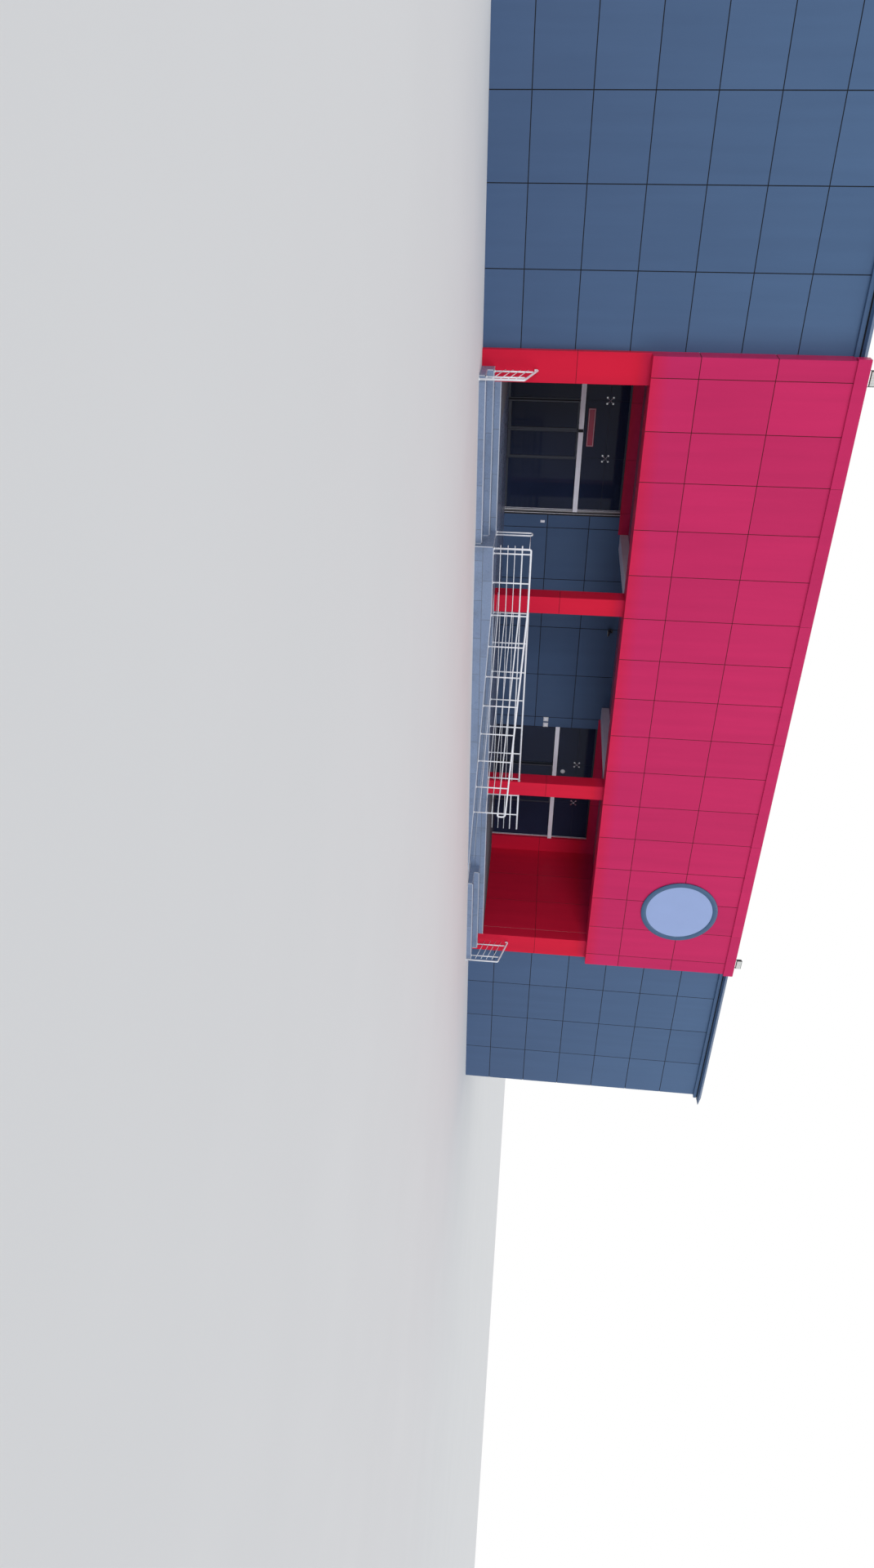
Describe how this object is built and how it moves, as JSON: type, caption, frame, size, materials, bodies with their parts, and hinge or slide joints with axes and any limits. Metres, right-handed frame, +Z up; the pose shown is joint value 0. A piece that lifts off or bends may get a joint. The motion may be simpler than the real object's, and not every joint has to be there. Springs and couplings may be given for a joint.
{
  "type": "supermarket building",
  "caption": "Single-storey supermarket hall with clad walls, a red portal over a deep porch, sliding glass doors, steps, a ramp and railings.",
  "frame": {"origin": "on the ground under the floor slab, at the middle of the portal and in the plane of the wings' front faces", "axes": "+X along the front to the right as one faces it, +Y back into the hall, +Z up"},
  "size_m": [36.14, 25.61, 9.805],
  "materials": {
    "tiles": "matt",
    "grey_cladding": "satin",
    "roofing": "matt",
    "red_cladding": "satin",
    "plaster": "matt",
    "frame_metal": "satin",
    "clear_glass": "gloss",
    "rail_paint": "satin",
    "lamp_metal": "satin"
  },
  "bodies": {
    "building": {"floor_slab": "tiles", "left_steps": "tiles", "right_steps": "tiles", "ramp": "tiles", "left_front_wall": "grey_cladding", "right_front_wall": "grey_cladding", "upper_front_wall": "grey_cladding", "left_side_wall": "grey_cladding", "right_side_wall": "grey_cladding", "rear_wall": "grey_cladding", "roof": "roofing", "left_cornice": "grey_cladding", "right_cornice": "grey_cladding", "rear_cornice": "grey_cladding", "left_pier": "red_cladding", "right_pier": "red_cladding", "left_column": "red_cladding", "right_column": "red_cladding", "portal_beam": "red_cladding", "fascia": "red_cladding", "fascia_coping": "red_cladding", "porch_left_wall": "red_cladding", "porch_right_wall": "red_cladding", "porch_middle_wall": "grey_cladding", "porch_end_strip": "red_cladding", "exit_lintel": "red_cladding", "entrance_lintel": "red_cladding", "porch_ceiling": "plaster", "left_ceiling_beam": "plaster", "right_ceiling_beam": "plaster", "exit_frame": "frame_metal", "exit_glass": "clear_glass", "exit_header": "frame_metal", "entrance_frame": "frame_metal", "entrance_glass": "clear_glass", "entrance_header": "frame_metal", "left_stair_railing": "rail_paint", "right_stair_railing": "rail_paint", "ramp_railing": "rail_paint", "platform_railing": "rail_paint", "floodlights": "lamp_metal"},
    "exit_left_door": {"exit_left_leaf": "frame_metal"},
    "exit_right_door": {"exit_right_leaf": "frame_metal"},
    "entrance_left_door": {"entrance_left_leaf": "frame_metal"},
    "entrance_right_door": {"entrance_right_leaf": "frame_metal"}
  },
  "joints": [
    {"name": "exit_left_slide", "type": "slide", "parent": "building", "child": "exit_left_door", "axis": [-1, 0, 0], "range_m": [0, 0.8]},
    {"name": "exit_right_slide", "type": "slide", "parent": "building", "child": "exit_right_door", "axis": [1, 0, 0], "range_m": [0, 0.8]},
    {"name": "entrance_left_slide", "type": "slide", "parent": "building", "child": "entrance_left_door", "axis": [-1, 0, 0], "range_m": [0, 0.8]},
    {"name": "entrance_right_slide", "type": "slide", "parent": "building", "child": "entrance_right_door", "axis": [1, 0, 0], "range_m": [0, 0.8]}
  ],
  "couplings": [
    {"joint": "exit_right_slide", "follows": "exit_left_slide", "ratio": 1},
    {"joint": "entrance_right_slide", "follows": "entrance_left_slide", "ratio": 1}
  ]
}
